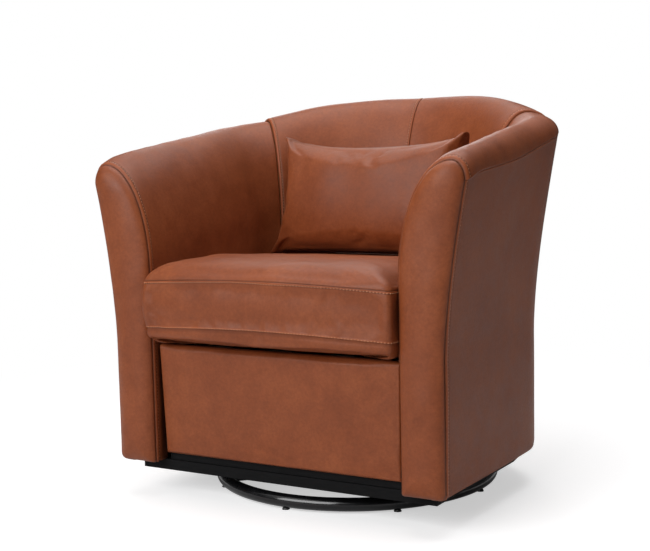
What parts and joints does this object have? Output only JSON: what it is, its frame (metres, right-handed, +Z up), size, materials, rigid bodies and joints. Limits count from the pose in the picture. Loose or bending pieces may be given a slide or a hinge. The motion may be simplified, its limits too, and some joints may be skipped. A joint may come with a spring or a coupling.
{
  "type": "swivel tub armchair",
  "caption": "Round-backed upholstered tub armchair with a loose seat cushion and lumbar pillow, turning on a tubular ring base.",
  "frame": {"origin": "on the floor under the swivel axis, which is within 6 mm of the middle of the chair's plan", "axes": "+Z up along the swivel axis; -Y is the way the sitter faces; +X is the sitter's left, the viewer's right from the front"},
  "size_m": [0.7836, 0.709, 0.758],
  "materials": {
    "saddle_leather": "saddle brown, soft mottling, satin",
    "foam": "open-cell foam, matt",
    "frame_wood": "sawn softwood and plywood, bare",
    "black_board": "black stained board, satin",
    "black_tube": "gloss black enamel",
    "zinc_steel": "zinc plated",
    "black_nylon": "moulded black nylon",
    "webbing": "woven elastic webbing",
    "deck_cloth": "woven brown cloth, matt",
    "zip_tape": "woven zip tape, dark brown"
  },
  "bodies": {
    "base": {"base_ring": "black_tube", "glide_1": "black_nylon", "glide_2": "black_nylon", "glide_3": "black_nylon", "glide_4": "black_nylon", "glide_5": "black_nylon", "glide_6": "black_nylon", "glide_7": "black_nylon", "glide_8": "black_nylon", "base_spider": "black_tube", "lower_bearing_plate": "zinc_steel", "bearing_ring": "black_nylon", "pivot_bolt": "zinc_steel", "lock_nut": "zinc_steel"},
    "seat": {"swivel_top_plate": "zinc_steel", "plate_screw_1": "zinc_steel", "plate_screw_2": "zinc_steel", "plate_screw_3": "zinc_steel", "plate_screw_4": "zinc_steel", "platform_board": "black_board", "front_spacer": "black_board", "bottom_hoop": "frame_wood", "seat_hoop": "frame_wood", "top_hoop": "frame_wood", "arm_front_board_left": "frame_wood", "arm_front_board_right": "frame_wood", "front_rail": "frame_wood", "corner_block_left": "frame_wood", "corner_block_right": "frame_wood", "back_post_left": "frame_wood", "back_post_right": "frame_wood", "back_slat_left": "frame_wood", "back_slat_right": "frame_wood", "long_webbing_1": "webbing", "long_webbing_2": "webbing", "long_webbing_3": "webbing", "cross_webbing_1": "webbing", "cross_webbing_2": "webbing", "seat_deck": "deck_cloth", "arm_foam_left": "foam", "arm_foam_right": "foam", "back_foam": "foam", "arm_cover_left": "saddle_leather", "arm_cover_right": "saddle_leather", "back_cover_left": "saddle_leather", "back_cover_right": "saddle_leather", "outside_arm_cover_left": "saddle_leather", "outside_arm_cover_right": "saddle_leather", "outside_back_cover": "saddle_leather", "arm_front_panel_left": "saddle_leather", "arm_front_panel_right": "saddle_leather", "apron_cover": "saddle_leather"},
    "seat_cushion": {"seat_cushion_cover": "saddle_leather", "seat_cushion_foam": "foam", "seat_cushion_zip": "zip_tape"},
    "lumbar_pillow": {"pillow_cover": "saddle_leather", "pillow_fill": "foam", "pillow_zip": "zip_tape"}
  },
  "joints": [
    {"name": "seat_swivel", "type": "hinge", "parent": "base", "child": "seat", "pos_m": [0, 0, 0.045], "axis": [0, 0, 1], "continuous": true},
    {"name": "cushion_lift", "type": "slide", "parent": "seat", "child": "seat_cushion", "axis": [0, 0, 1], "range_m": [0, 0.25]},
    {"name": "pillow_lift", "type": "slide", "parent": "seat_cushion", "child": "lumbar_pillow", "axis": [0, 0, 1], "range_m": [0, 0.3]}
  ]
}
